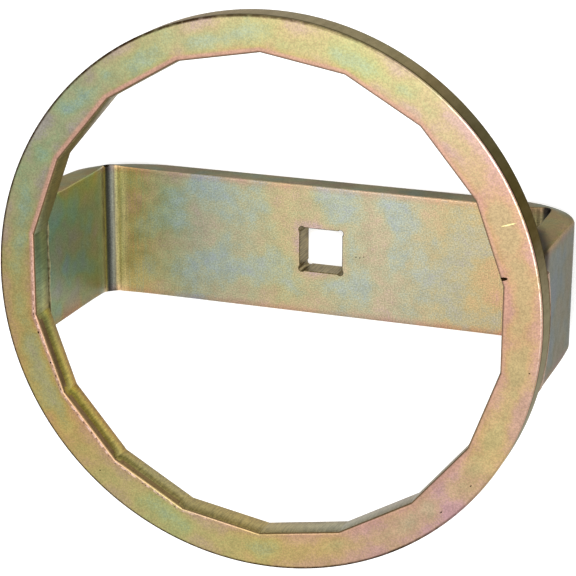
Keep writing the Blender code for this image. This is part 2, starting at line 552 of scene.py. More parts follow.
@dataclass(frozen=True)
class RingPlating:
    """Plating of the ring: its two faces, its flats and its rim.

    Every row of stops that is read by the way round starts at the right-hand side and goes upwards first.
    """

    apothem: float
    rim_radius: float
    flat_angle: float
    front: float
    back: float
    grain: Grain = field(default_factory=Grain)
    face_stops: Stops = (
        (0.00, tone(174, 152, 124)), (0.08, tone(172, 150, 128)), (0.125, tone(171, 161, 136)),
        (0.18, tone(170, 168, 132)), (0.25, tone(175, 168, 133)), (0.29, tone(172, 168, 139)),
        (0.33, tone(164, 163, 130)), (0.37, tone(149, 156, 135)), (0.42, tone(143, 155, 131)),
        (0.46, tone(150, 153, 126)), (0.50, tone(161, 153, 112)), (0.56, tone(176, 158, 110)),
        (0.60, tone(182, 163, 112)), (0.65, tone(176, 171, 126)), (0.70, tone(176, 175, 131)),
        (0.75, tone(187, 173, 124)), (0.79, tone(186, 170, 125)), (0.83, tone(185, 164, 144)),
        (0.875, tone(183, 162, 150)), (0.92, tone(184, 167, 130)), (0.96, tone(178, 161, 130)),
        (1.00, tone(174, 152, 124)),
    )
    film_stops: Levels = (
        (0.00, 0.28), (0.15, 0.32), (0.26, 0.44), (0.38, 0.52), (0.50, 0.46), (0.62, 0.40), (0.75, 0.40),
        (0.88, 0.28), (1.00, 0.28),
    )
    swing_stops: Levels = (
        (0.0, 0.8), (0.12, 0.75), (0.2, 0.65), (0.38, 1.0), (0.5, 0.9), (0.8, 0.6), (0.9, 0.8),
        (1.0, 0.8),
    )
    film_caps: Levels = ((0.0, 0.46), (0.14, 0.48), (0.2, 1.0), (0.8, 1.0), (0.86, 0.48), (1.0, 0.46))
    rose_stops: Levels = (
        (0.00, 0.5), (0.20, 0.9), (0.35, 1.0), (0.52, 1.0), (0.60, 0.6), (0.68, 0.3), (0.80, 0.3),
        (0.90, 0.5), (1.00, 0.5),
    )
    # Where the painted glint along the flats' front edge shows, by the way round.
    inner_glint_stops: Levels = ((0.46, 0.0), (0.52, 0.9), (0.68, 0.9), (0.74, 0.0))
    # Where the painted dark reflection along the rim's front edge shows, by the way round.
    rim_shade_stops: Levels = ((0.10, 0.0), (0.20, 0.7), (0.30, 1.0), (0.84, 1.0), (0.92, 0.0))
    # Where the painted highlight along the rim's front edge shows, by the way round.
    rim_highlight_stops: Levels = (
        (0.00, 0.25), (0.02, 0.6), (0.10, 0.65), (0.16, 0.0), (0.92, 0.0), (1.00, 0.25),
    )
    flat_stops: Stops = (
        (0.00, tone(140, 128, 92)), (0.28, tone(160, 142, 112)), (0.36, tone(150, 136, 100)),
        (0.44, tone(128, 116, 74)), (0.48, tone(114, 126, 100)), (0.50, tone(114, 132, 108)),
        (0.53, tone(136, 132, 86)), (0.56, tone(150, 136, 70)), (0.62, tone(152, 136, 72)),
        (0.66, tone(136, 128, 84)), (0.74, tone(146, 130, 82)), (0.80, tone(136, 132, 110)),
        (0.85, tone(130, 122, 104)), (1.00, tone(140, 128, 92)),
    )
    # Where the flats' painted highlight shows, by the way round, and how it runs from the plate's front to
    # its back: bright in the middle, painted shade towards both faces.
    highlit_flat_stops: Levels = ((0.46, 0.2), (0.52, 0.6), (0.56, 1.0), (0.62, 1.0), (0.67, 0.25))
    flat_highlight_profile: Stops = (
        (0.05, (0.48, 0.42, 0.34)), (0.32, (0.56, 0.61, 0.58)), (0.48, (1.00, 1.00, 0.84)),
        (0.62, (0.98, 0.88, 0.58)), (0.80, (0.72, 0.54, 0.36)), (0.96, (0.54, 0.40, 0.44)),
    )
    # Rim colours, read from the left; the dark olive stretch from 0.55 to 0.62, on the upper right, is a
    # painted dark reflection.
    rim_stops: Stops = (
        (0.00, tone(140, 134, 112)), (0.44, tone(146, 142, 122)), (0.50, tone(142, 136, 114)),
        (0.525, tone(134, 126, 106)), (0.55, tone(90, 80, 62)), (0.58, tone(80, 73, 56)),
        (0.62, tone(92, 87, 72)), (0.65, tone(118, 107, 84)), (0.68, tone(138, 129, 104)),
        (0.74, tone(146, 136, 116)), (0.80, tone(142, 124, 100)), (0.90, tone(98, 84, 60)),
        (1.00, tone(110, 98, 72)),
    )
    broad: Cloud = Cloud(13 * MM, 0.30, detail=1.0)
    small: Cloud = Cloud(3 * MM, 0.09, (4, 1, 8))
    sand: Cloud = Cloud(0.5 * MM, 0.08, (8, 2, 3))
    film_middle: float = 0.14
    film_edges: float = -0.24
    film_reach: float = 4.6 * MM
    gold_fade: Fade = Fade(1.1 * MM, 3.0 * MM, 0.75)
    gold_tint: Colour = (1.0, 0.87, 0.70)
    rose_fade: Fade = Fade(0.9 * MM, 1.8 * MM)
    rose: Colour = tone(188, 148, 129)
    corner_fade: Fade = Fade(0.08 * MM, 0.4 * MM, 0.9)
    corner_tone: Colour = tone(88, 72, 44)
    patch_size: float = 1.6 * MM
    inner_glint_place: float = 0.75 * MM
    inner_glint_fade: Fade = Fade(0.1 * MM, 0.4 * MM, 0.9)
    inner_glint_tone: Colour = tone(250, 214, 196)
    rim_shade_fade: Fade = Fade(0.45 * MM, 1.0 * MM)
    rim_shade_tone: Colour = tone(50, 34, 18)
    rim_highlight_place: float = 0.42 * MM
    rim_highlight_fade: Fade = Fade(0.06 * MM, 0.26 * MM, 0.9)
    rim_highlight_tone: Colour = tone(236, 226, 206)
    ripple_size: float = 1.6 * MM
    tick_size: float = 0.45 * MM
    cut_strength: float = 0.4
    flat_roughness: float = 0.36
    rim_roughness: float = 0.40

    def turn(self, sheet: NodeSheet) -> Socket:
        """Return the angle round the ring's axis, in radians from minus to plus pi."""
        return sheet.math("ARCTAN2", sheet.y, sheet.x)

    def way_round(self, sheet: NodeSheet) -> Socket:
        """Return the share of a full turn from the right-hand side, upwards first."""
        return sheet.math("FRACT", sheet.math("DIVIDE", self.turn(sheet), 2 * math.pi))

    def reach(self, sheet: NodeSheet) -> Socket:
        """Return the distance from the ring's axis."""
        squares = [sheet.product(place, place) for place in (sheet.x, sheet.y)]
        return sheet.math("SQRT", sheet.total(*squares))

    def past_flat(self, sheet: NodeSheet) -> Socket:
        """Return how far a point lies outside the nearest flat."""
        folded = sheet.math("PINGPONG", self.turn(sheet), self.flat_angle / 2)
        return sheet.less(sheet.product(self.reach(sheet), sheet.math("COSINE", folded)), self.apothem)

    def film(self, sheet: NodeSheet, way: Socket) -> Socket:
        """Lay out the film's thickness over a face: clouds, thicker along the middle of the plate."""
        middle = (self.apothem + self.rim_radius) / 2
        from_middle = sheet.off(self.reach(sheet), middle)
        profile = sheet.span(from_middle, 0, self.film_reach, self.film_middle, self.film_edges)
        clouds = sheet.total(sheet.swing(self.broad), sheet.swing(self.small), profile)
        clouds = sheet.product(clouds, sheet.level(way, self.swing_stops))
        film = sheet.total(sheet.level(way, self.film_stops), clouds, sheet.swing(self.sand))
        return sheet.math("MINIMUM", film, sheet.level(way, self.film_caps))

    def face(self) -> bpy.types.Material:
        """Make the finish of the ring's flat faces.

        Returns:
            The material, rose along the flats, patchy gold and green between, with a painted dark reflection
            along the rim's front edge round the top, left and bottom, a painted highlight along that edge on
            the right and a painted glint along the front edge of the left and lower flats.
        """
        sheet = NodeSheet("ring_face_plating")
        inner = self.past_flat(sheet)
        outer = sheet.less(self.rim_radius, self.reach(sheet))
        way = self.way_round(sheet)
        patches = sheet.noise(self.patch_size, 3.0, shift=(5, 5, 1))
        base = sheet.tinted(sheet.ramp(way, self.face_stops), self.film(sheet, way))
        rosy = sheet.level(way, self.rose_stops)
        gold = sheet.multiply(base, self.gold_tint)
        base = sheet.mix(sheet.product(rosy, sheet.fade(inner, self.gold_fade)), base, gold)
        rose = sheet.shade(self.rose, NEUTRAL)
        base = sheet.mix(sheet.product(rosy, sheet.fade(inner, self.rose_fade)), base, rose)
        base = sheet.mix(sheet.fade(inner, self.corner_fade), base, self.corner_tone)
        # Painted glint: a broken pale pink line just inside the front edge of the left and lower flats.
        painted_inner_glint = sheet.product(sheet.level(way, self.inner_glint_stops), sheet.span(patches, 0.44, 0.56))
        painted_inner_glint = sheet.product(painted_inner_glint, sheet.fade(sheet.off(inner, self.inner_glint_place), self.inner_glint_fade))
        base = sheet.mix(painted_inner_glint, base, sheet.shade(self.inner_glint_tone, NEUTRAL))
        # Painted dark reflection: a dark line along the rim's front edge round the top, left and bottom,
        # broken up by patches.
        painted_rim_shade = sheet.product(sheet.level(way, self.rim_shade_stops), sheet.span(patches, 0.35, 0.6, 0.75))
        painted_rim_shade = sheet.product(sheet.fade(outer, self.rim_shade_fade), painted_rim_shade)
        base = sheet.mix(painted_rim_shade, base, self.rim_shade_tone)
        # Painted highlight: a broken white line along the rim's front edge on the right-hand side.
        painted_rim_highlight = sheet.product(sheet.level(way, self.rim_highlight_stops), sheet.span(patches, 0.40, 0.55, 0.3))
        painted_rim_highlight = sheet.product(painted_rim_highlight, sheet.fade(sheet.off(outer, self.rim_highlight_place), self.rim_highlight_fade))
        base = sheet.mix(painted_rim_highlight, base, self.rim_highlight_tone)
        return self.grain.coat(sheet, base)

    def flats(self) -> bpy.types.Material:
        """Make the finish of the flats.

        Returns:
            The material, olive with cutting marks that run across the plate's thickness, and a painted
            highlight along the middle of the thickness of the left and lower-left flats, with painted shade
            towards their front and back.
        """
        sheet = NodeSheet("ring_flat_plating")
        way = self.way_round(sheet)
        base = sheet.ramp(way, self.flat_stops)
        # Painted highlight on the left and lower-left flats: bright along the middle of the plate's
        # thickness, with painted shade towards the front and the back.
        profile = sheet.ramp(sheet.share(sheet.z, self.front, self.back), self.flat_highlight_profile)
        painted_flat_highlight = sheet.mix(sheet.level(way, self.highlit_flat_stops), (NEUTRAL, NEUTRAL, NEUTRAL), profile)
        marks = sheet.noise(self.tick_size, 2.0, stretch=(1, 1, 12))
        base = sheet.shade(sheet.multiply(base, painted_flat_highlight), sheet.spread(marks, 0.78, 1.20))
        ridges = sheet.bump(marks, self.cut_strength, 0.03 * MM, self.grain.relief(sheet))
        return sheet.finish(self.grain.speckle(sheet, base), self.flat_roughness, ridges)

    def rim(self) -> bpy.types.Material:
        """Make the finish of the ring's outer wall.

        Returns:
            The material, dark olive where the plate was sheared and grey where it was ground; the darkest
            olive stretch, on the upper right, is a painted dark reflection, and the dark line just behind the
            front edge is painted too.
        """
        sheet = NodeSheet("ring_rim_plating", edge_tint=(0.42, 0.40, 0.34))
        from_left = sheet.math("FRACT", sheet.total(self.way_round(sheet), 0.5))
        ripples = sheet.noise(self.ripple_size, 2.0, stretch=(1, 1, 6))
        # The darkest olive stretch of the rim's colours, on the upper right, is a painted dark reflection.
        base = sheet.shade(sheet.ramp(from_left, self.rim_stops), sheet.spread(ripples, 0.60, 0.74))
        below = sheet.less(self.front, sheet.z)
        above = sheet.less(sheet.z, self.back)
        # Painted dark reflection: a dark line just behind the front edge.
        base = sheet.shade(base, sheet.span(below, 0.7 * MM, 1.5 * MM, 0.28, 1.0))
        base = sheet.shade(base, sheet.span(above, 0.1 * MM, 1.1 * MM, 0.3, 1.0))
        relief = sheet.bump(ripples, self.cut_strength, 0.06 * MM, self.grain.relief(sheet))
        return sheet.finish(self.grain.speckle(sheet, base), self.rim_roughness, relief)


@dataclass(frozen=True)
class StrapPlating:
    """Plating of the strap: its inner and outer faces, its sheared edges and the hole's walls."""

    half_width: float
    bend_path: float
    hole_reach: float
    grain: Grain = field(default_factory=lambda: Grain(contrast=0.22))
    bar_stops: Stops = (
        (0.00, tone(190, 172, 124)), (0.08, tone(168, 170, 146)), (0.17, tone(166, 168, 160)),
        (0.32, tone(178, 174, 156)), (0.40, tone(184, 176, 148)), (0.60, tone(180, 174, 158)),
        (0.70, tone(178, 172, 158)), (0.85, tone(184, 165, 136)), (1.00, tone(190, 166, 136)),
    )
    # Colours round a bend; the dark stretch from 0.38 to 0.555, in the inner crease, is painted shade.
    bend_stops: Stops = (
        (0.00, tone(200, 182, 128)), (0.20, tone(214, 196, 138)), (0.27, tone(228, 212, 150)),
        (0.30, tone(230, 210, 154)), (0.33, tone(244, 226, 168)), (0.38, tone(116, 114, 96)),
        (0.44, tone(110, 112, 103)), (0.48, tone(84, 86, 80)), (0.52, tone(66, 68, 62)),
        (0.555, tone(80, 82, 64)), (0.59, tone(150, 148, 96)), (0.63, tone(186, 182, 140)),
        (0.70, tone(160, 170, 138)), (0.76, tone(134, 150, 126)), (1.00, tone(116, 132, 110)),
    )
    leg_stops: Stops = (
        (0.02, tone(132, 114, 82)), (0.10, tone(122, 126, 96)), (0.18, tone(120, 134, 112)),
        (0.32, tone(122, 138, 126)), (0.50, tone(124, 136, 132)), (0.75, tone(118, 141, 134)),
        (0.90, tone(132, 146, 114)), (1.00, tone(138, 138, 92)),
    )
    bar_reach: float = 60 * MM
    bar_film: float = 0.52
    broad: Cloud = Cloud(12 * MM, 0.22, (3, 5, 2), 1.0)
    small: Cloud = Cloud(2.5 * MM, 0.08, (6, 2, 1))
    sand: Cloud = Cloud(0.5 * MM, 0.10, (1, 2, 9))
    leg_clouds: Cloud = Cloud(11 * MM, 0.42, (1, 4, 6))
    outer_clouds: Cloud = Cloud(14 * MM, 0.22, (8, 1, 3))
    edge_clouds: Cloud = Cloud(6 * MM, 0.25, (2, 2, 7))
    streak_size: float = 0.5 * MM
    bend_reach: float = 10 * MM
    rose_fade: Fade = Fade(0.5 * MM, 2.6 * MM, 0.85)
    rose_tint: Colour = (1.0, 0.80, 0.88)
    leg_shade: float = 0.93
    gold_fade: Fade = Fade(0.4 * MM, 2.4 * MM, 0.7)
    back_tone: Colour = tone(116, 112, 107)
    back_gold: Colour = tone(132, 112, 78)
    heated_tone: Colour = tone(138, 118, 106)
    # Colour of the painted shade beside the ring, above the welds.
    gap_shade_tone: Colour = tone(44, 34, 18)
    # Painted shade under the ring on the right-hand leg's top edge: its slant, its fade and its colour.
    ring_shade_slope: float = 0.37
    ring_shade_fade: Fade = Fade(58.5 * MM, 62.5 * MM, 0.96)
    ring_shade_tone: Colour = tone(34, 26, 12)
    edge_roughness: float = 0.38
    hole_roughness: float = 0.35

    def edge_gap(self, sheet: NodeSheet) -> Socket:
        """Return the distance from the nearer sheared edge."""
        return sheet.less(self.half_width, sheet.off(sheet.y))

    def bar_tone(self, sheet: NodeSheet, streaks: Socket) -> Socket:
        """Return the colour of the bar between the bends, rosy round the hole and streaked at its ends."""
        across = sheet.off(sheet.x)
        hole = sheet.less(sheet.math("MAXIMUM", across, sheet.off(sheet.y)), self.hole_reach)
        clouds = [sheet.swing(cloud) for cloud in (self.broad, self.small, self.sand)]
        film = sheet.total(self.bar_film, *clouds, sheet.span(hole, -0.3 * MM, 3.5 * MM, -0.34, 0.0))
        near_bend = sheet.span(across, 50 * MM, 58 * MM)
        film = sheet.total(film, sheet.product(near_bend, sheet.spread(streaks, -0.28, 0.12)))
        base = sheet.ramp(sheet.share(sheet.x, -self.bar_reach, self.bar_reach), self.bar_stops)
        return sheet.tinted(base, film)

    def bend_tone(self, sheet: NodeSheet, path: Socket, streaks: Socket) -> Socket:
        """Return the colour round a bend, streaked along it, with painted shade in its inner crease."""
        share = sheet.share(path, self.bend_path - self.bend_reach, self.bend_path + self.bend_reach)
        arc = sheet.ramp(share, self.bend_stops)
        return sheet.shade(arc, sheet.spread(streaks, 0.86 * NEUTRAL, 1.14 * NEUTRAL))

    def leg_tone(self, sheet: NodeSheet) -> Socket:
        """Return the colour of the legs' inner faces, mustard at the top and rosy at the bottom."""
        base = sheet.ramp(sheet.share(sheet.y, -self.half_width, self.half_width), self.leg_stops)
        film = sheet.total(sheet.swing(self.leg_clouds), 0.5)
        return sheet.shade(sheet.tinted(base, film), self.leg_shade)

    def inside(self) -> bpy.types.Material:
        """Make the finish of the face that looks towards the ring.

        Returns:
            The material, golden beige with rosy edges along the bar and dark green up the legs, with painted
            shade in the bends' creases and a painted shadow over the bar beside the right-hand bend.
        """
        sheet = NodeSheet("strap_inner_plating")
        streaks = sheet.noise(self.streak_size, 3.0, stretch=(1, 30, 1))
        path = sheet.total(sheet.off(sheet.x), sheet.z)
        from_arc = (self.bend_path - 8 * MM, self.bend_path - 5 * MM)
        to_leg = (self.bend_path + 4 * MM, self.bend_path + 9 * MM)
        arc = self.bend_tone(sheet, path, streaks)
        base = sheet.mix(sheet.span(path, *from_arc), self.bar_tone(sheet, streaks), arc)
        rose = sheet.multiply(base, self.rose_tint)
        base = sheet.mix(sheet.fade(self.edge_gap(sheet), self.rose_fade), base, rose)
        base = sheet.mix(sheet.span(path, *to_leg), base, self.leg_tone(sheet))
        # Painted shadow of the ring and the right-hand leg over the bar beside the right-hand bend.
        base = sheet.shade(base, sheet.span(sheet.x, 57 * MM, 63 * MM, 1.0, 0.24))
        return self.grain.coat(sheet, base)

    def outside(self) -> bpy.types.Material:
        """Make the finish of the strap's back and of its legs' outer faces.

        Returns:
            The material, smooth blue-grey with a gold rim along the edges.
        """
        sheet = NodeSheet("strap_outer_plating", edge_tint=(0.5, 0.5, 0.5))
        gap = self.edge_gap(sheet)
        clouds = sheet.total(sheet.swing(self.outer_clouds), 0.62)
        film = sheet.total(clouds, sheet.span(gap, 0.8 * MM, 4.0 * MM, -0.34, 0.0))
        base = sheet.tinted(self.back_tone, film)
        base = sheet.mix(sheet.span(sheet.z, 43 * MM, 50 * MM), base, self.heated_tone)
        base = sheet.mix(sheet.fade(gap, self.gold_fade), base, self.back_gold)
        # Painted shade on the legs' outer faces in the upper corner beside the ring, above the welds.
        above_weld = sheet.span(sheet.y, 12.5 * MM, 15 * MM)
        by_ring = sheet.span(sheet.z, 43 * MM, 48 * MM)
        base = sheet.mix(sheet.product(above_weld, by_ring), base, self.gap_shade_tone)
        return self.grain.coat(sheet, base)

    def sheared(self) -> bpy.types.Material:
        """Make the finish of the strap's two long edges.

        Returns:
            The material, grey along the bar and olive gold up the legs, with painted shade under the ring by
            the right-hand weld.
        """
        sheet = NodeSheet("strap_edge_plating", edge_tint=(0.5, 0.5, 0.5))
        streaks = sheet.noise(0.6 * MM, 2.0, stretch=(25, 1, 25))
        grey = sheet.streaked(streaks, tone(104, 101, 86), tone(120, 116, 98))
        gold = sheet.streaked(streaks, tone(112, 102, 74), tone(124, 114, 84))
        base = sheet.mix(sheet.span(sheet.z, 6 * MM, 16 * MM), grey, gold)
        # Painted shade under the ring: darker along a slanting line on the right-hand leg's top edge, close
        # to the ring.
        lean = sheet.less(sheet.off(sheet.x), sheet.product(sheet.z, self.ring_shade_slope))
        painted_ring_shade = sheet.product(sheet.fade(lean, self.ring_shade_fade), sheet.span(sheet.z, 22 * MM, 32 * MM))
        painted_ring_shade = sheet.product(painted_ring_shade, sheet.span(sheet.x, 0, 10 * MM))
        base = sheet.mix(painted_ring_shade, base, self.ring_shade_tone)
        base = sheet.tinted(base, sheet.total(sheet.swing(self.edge_clouds), 0.45))
        return sheet.finish(self.grain.speckle(sheet, base), self.edge_roughness, self.grain.relief(sheet))

    def hole(self) -> bpy.types.Material:
        """Make the finish of the drive hole's walls, brownish olive with broaching marks."""
        sheet = NodeSheet("drive_hole_plating")
        marks = sheet.noise(0.35 * MM, 2.0, stretch=(1, 1, 15))
        base = sheet.streaked(marks, tone(104, 92, 62), tone(146, 132, 94))
        return sheet.finish(base, self.hole_roughness, self.grain.relief(sheet))


@dataclass(frozen=True)
class WeldPlating:
    """Plating over the welds, darker and rougher than on the plate."""

    cloud_size: float = 2.2 * MM
    grain: Grain = field(default_factory=lambda: Grain(size=0.7 * MM, contrast=0.2, roughness=0.46))

    def run(self, name: str, light: Colour, dark: Colour) -> bpy.types.Material:
        """Make the finish of one kind of weld run.

        Args:
            name: Name of the material.
            light: Colour of its rubbed high spots.
            dark: Colour of its hollows.

        Returns:
            The material.
        """
        sheet = NodeSheet(name, edge_tint=(0.5, 0.5, 0.5))
        return self.grain.coat(sheet, sheet.streaked(sheet.noise(self.cloud_size, 3.0), dark, light))


@dataclass(frozen=True)
class NickFinish:
    """Finish of the small knocks and scratches."""

    roughness: float = 0.5
    grit_size: float = 0.3 * MM
    grit_strength: float = 0.3
    grit_depth: float = 0.01 * MM

    def mark(self, name: str, colour: Colour) -> bpy.types.Material:
        """Make the finish of one kind of mark."""
        sheet = NodeSheet(name, edge_tint=(0.3, 0.3, 0.3))
        grit = sheet.spread(sheet.noise(self.grit_size), 0.7, 1.2)
        relief = sheet.bump(grit, self.grit_strength, self.grit_depth)
        return sheet.finish(sheet.shade(colour, grit), self.roughness, relief)


# ---------------------------------------------------------------------------------------------
# The pieces.


@dataclass
class SocketRing:
    """The plate ring whose eighteen flats grip the filter."""

    node: str = "socket_ring"
    flat_count: int = 18
    across_flats: float = 136 * MM
    cuts_per_flat: int = 15
    front_inner_radius: float = 0.6 * MM
    front_outer_radius: float = 0.6 * MM
    rear_radius: float = 0.3 * MM
    crown: float = 0.14 * MM
    crown_lines: int = 5
    proud_flats: tuple[int, ...] = (200, 220, 240)
    proud_crown: float = 0.24 * MM
    clear_of_corner: float = 0.48
    face_slope: float = 0.35
    smooth_angle: float = math.radians(35)
    old_knocks: tuple[tuple[float, float, Triple], ...] = (
        (69.2, 11.8, (1.2, 3.4, 1.6)), (76.7, 351.8, (0.4, 0.6, 0.4)), (75.2, 229.2, (0.6, 0.5, 0.4)),
        (75.8, 314.4, (0.9, 0.4, 0.4)), (76.0, 323.5, (0.8, 0.4, 0.4)), (69.6, 194.2, (0.9, 0.6, 0.6)),
        (68.9, 202.0, (0.8, 0.6, 0.6)),
    )
    rim_nicks: int = 46
    rim_nicks_from: float = 104
    rim_nicks_over: float = 218
    flat_nicks: int = 26
    flat_nicks_from: float = 188
    flat_nicks_over: float = 62
    jitter: float = 0.35
    seed: int = 11

    def __post_init__(self) -> None:
        """Read the ring's place from the frame."""
        low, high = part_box(self.node)
        self.back = low.z
        self.front = high.z
        self.rim_radius = high.x
        self.apothem = self.across_flats / 2
        self.flat_angle = 2 * math.pi / self.flat_count
        self.corner_radius = self.apothem / math.cos(self.flat_angle / 2)
        self.between = (self.corner_radius + self.rim_radius) / 2

    def is_inner(self, place: Vector) -> bool:
        """Tell whether a place belongs to the opening rather than to the rim."""
        return place.xy.length < self.between

    def is_proud(self, place: Vector) -> bool:
        """Tell whether a place is on a flat whose punch stroke left it swollen, clear of its corners."""
        angle = math.atan2(place.y, place.x)
        number = round(angle / self.flat_angle)
        clear = abs(angle - number * self.flat_angle) < self.clear_of_corner * self.flat_angle
        middle = round(math.degrees(number * self.flat_angle)) % 360
        return clear and middle in self.proud_flats and self.is_inner(place)

    def is_corner(self, place: Vector) -> bool:
        """Tell whether a place is where two flats meet."""
        angle = math.atan2(place.y, place.x)
        off = abs(math.remainder(angle - self.flat_angle / 2, self.flat_angle))
        return off < 0.02 * self.flat_angle and self.is_inner(place)

    def blank(self) -> bpy.types.Object:
        """Lay out the eighteen-sided opening and the round rim, and give the plate its thickness.

        Returns:
            The plate as a closed mesh object with square edges.
        """
        Bench.clear()
        bpy.ops.mesh.primitive_circle_add(
            vertices=self.flat_count, radius=self.corner_radius, location=(0, 0, self.front)
        )
        ring = bpy.context.active_object
        ring.name = "grip_ring"
        Bench.open(ring)
        bpy.ops.mesh.select_all(action="SELECT")
        bpy.ops.mesh.subdivide(number_cuts=self.cuts_per_flat)
        steps = self.flat_count * (self.cuts_per_flat + 1)
        bpy.ops.mesh.primitive_circle_add(vertices=steps, radius=self.rim_radius, location=(0, 0, self.front))
        bpy.ops.mesh.select_all(action="SELECT")
        bpy.ops.mesh.bridge_edge_loops(number_cuts=3, interpolation="LINEAR")
        bpy.ops.mesh.select_all(action="SELECT")
        thickness = self.front - self.back
        bpy.ops.mesh.extrude_region_move(TRANSFORM_OT_translate={"value": (0, 0, -thickness)})
        bpy.ops.mesh.select_all(action="SELECT")
        bpy.ops.mesh.normals_make_consistent(inside=False)
        Bench.close()
        Bench.take(ring)
        bpy.ops.object.transform_apply(location=True, rotation=True, scale=True)
        return ring

    def crown_flats(self, ring: bpy.types.Object) -> None:
        """Swell the flats a little in the middle of the plate's thickness."""
        height = self.front - self.back
        middle = (self.front + self.back) / 2
        steps = self.crown_lines + 1
        for line in range(1, steps):
            level = self.back + height * line / steps
            Bench.pick(ring, "FACE", lambda centre, normal: abs(normal.z) < 0.5 and self.is_inner(centre))
            bpy.ops.mesh.bisect(plane_co=(0, 0, level), plane_no=(0, 0, 1))
            swell = self.crown * (1 - (2 * (level - middle) / height) ** 2)
            Bench.pick(ring, "VERT", lambda place: abs(place.z - level) < TOUCH and self.is_inner(place))
            share = 1 - swell / self.apothem
            bpy.ops.transform.resize(value=(share, share, 1), center_override=(0, 0, level))
            Bench.pick(ring, "VERT", lambda place: abs(place.z - level) < TOUCH and self.is_proud(place))
            share = 1 - swell * self.proud_crown / self.crown / self.apothem
            bpy.ops.transform.resize(value=(share, share, 1), center_override=(0, 0, level))

    def round_rims(self, ring: bpy.types.Object) -> None:
        """Round the four circular edges, the two at the front more than the two at the back."""
        plan = (
            (self.front, True, self.front_inner_radius, 6),
            (self.front, False, self.front_outer_radius, 4),
            (self.back, True, self.rear_radius, 3),
            (self.back, False, self.rear_radius, 3),
        )
        for level, inner, radius, segments in plan:

            def on_rim(place: Vector) -> bool:
                """Tell whether a place is on the edge that is being rounded."""
                edge = self.corner_radius + 0.1 * MM if inner else self.rim_radius - 0.1 * MM
                length = place.xy.length
                return abs(place.z - level) < TOUCH and (length < edge if inner else length > edge)

            Bench.pick(ring, "EDGE", lambda start, end: on_rim(start) and on_rim(end))
            Bench.round_picked(radius, segments)

    def dress(self, ring: bpy.types.Object) -> None:
        """Give the ring its three finishes, each on its own faces."""
        plating = RingPlating(self.apothem, self.rim_radius, self.flat_angle, self.front, self.back)
        ring.data.materials.clear()
        for material in (plating.face(), plating.flats(), plating.rim()):
            ring.data.materials.append(material)
        for face in ring.data.polygons:
            if abs(face.normal.z) > self.face_slope:
                face.material_index = RingSide.FACE
            elif self.is_inner(face.center):
                face.material_index = RingSide.FLAT
            else:
                face.material_index = RingSide.RIM

    def wear(self, ring: bpy.types.Object) -> None:
        """Add the knocks of use: a notch, a few pits, one scratch and tiny nicks along the edges."""
        chance = random.Random(self.seed)
        knocks = [
            Knock.polar(reach * MM, math.radians(angle), self.front, Vector(size) * MM)
            for reach, angle, size in self.old_knocks
        ]
        finish = NickFinish()
        # The dark brown bottoms of the knocks and nicks are painted shade in the recesses.
        knock_shade_finish = finish.mark("knock_painted_shade", tone(58, 42, 24))
        Bench.knock(ring, knocks, knock_shade_finish)
        knocks.clear()
        for step in range(self.rim_nicks):
            shift = step + chance.uniform(-self.jitter, self.jitter)
            angle = math.radians(self.rim_nicks_from + self.rim_nicks_over * shift / self.rim_nicks)
            size = Vector((chance.uniform(0.4, 1.1), 0.36, 0.5)) * MM
            knocks.append(Knock.polar(self.rim_radius - 0.15 * MM, angle, self.front - 0.2 * MM, size))
        for step in range(self.flat_nicks):
            shift = step + chance.uniform(-self.jitter, self.jitter)
            angle = math.radians(self.flat_nicks_from + self.flat_nicks_over * shift / self.flat_nicks)
            fold = math.remainder(angle, self.flat_angle)
            reach = self.apothem / math.cos(fold) + chance.uniform(0.75, 1.05) * MM
            size = Vector((chance.uniform(0.3, 0.8), 0.3, 0.3)) * MM
            knocks.append(Knock.polar(reach, angle, self.front, size, -fold))
        Bench.knock(ring, knocks, knock_shade_finish)
        place = Vector((68.9 * MM, 29.0 * MM, self.front))
        scratch = Knock(place, Vector((5.2, 0.5, 0.3)) * MM, math.radians(18))
        Bench.knock(ring, [scratch], finish.mark("fresh_scratch", tone(236, 228, 168)))

    def build(self) -> bpy.types.Object:
        """Make the whole ring.

        Returns:
            The finished ring.
        """
        ring = self.blank()
        Bench.open(ring)
        self.crown_flats(ring)
        self.round_rims(ring)
        Bench.pick(ring, "EDGE", lambda start, end: self.is_corner(start) and self.is_corner(end))
        bpy.ops.mesh.mark_sharp()
        Bench.close()
        self.dress(ring)
        self.wear(ring)
        Bench.settle(ring, self.smooth_angle)
        hand_in(ring, self.node)
        return ring


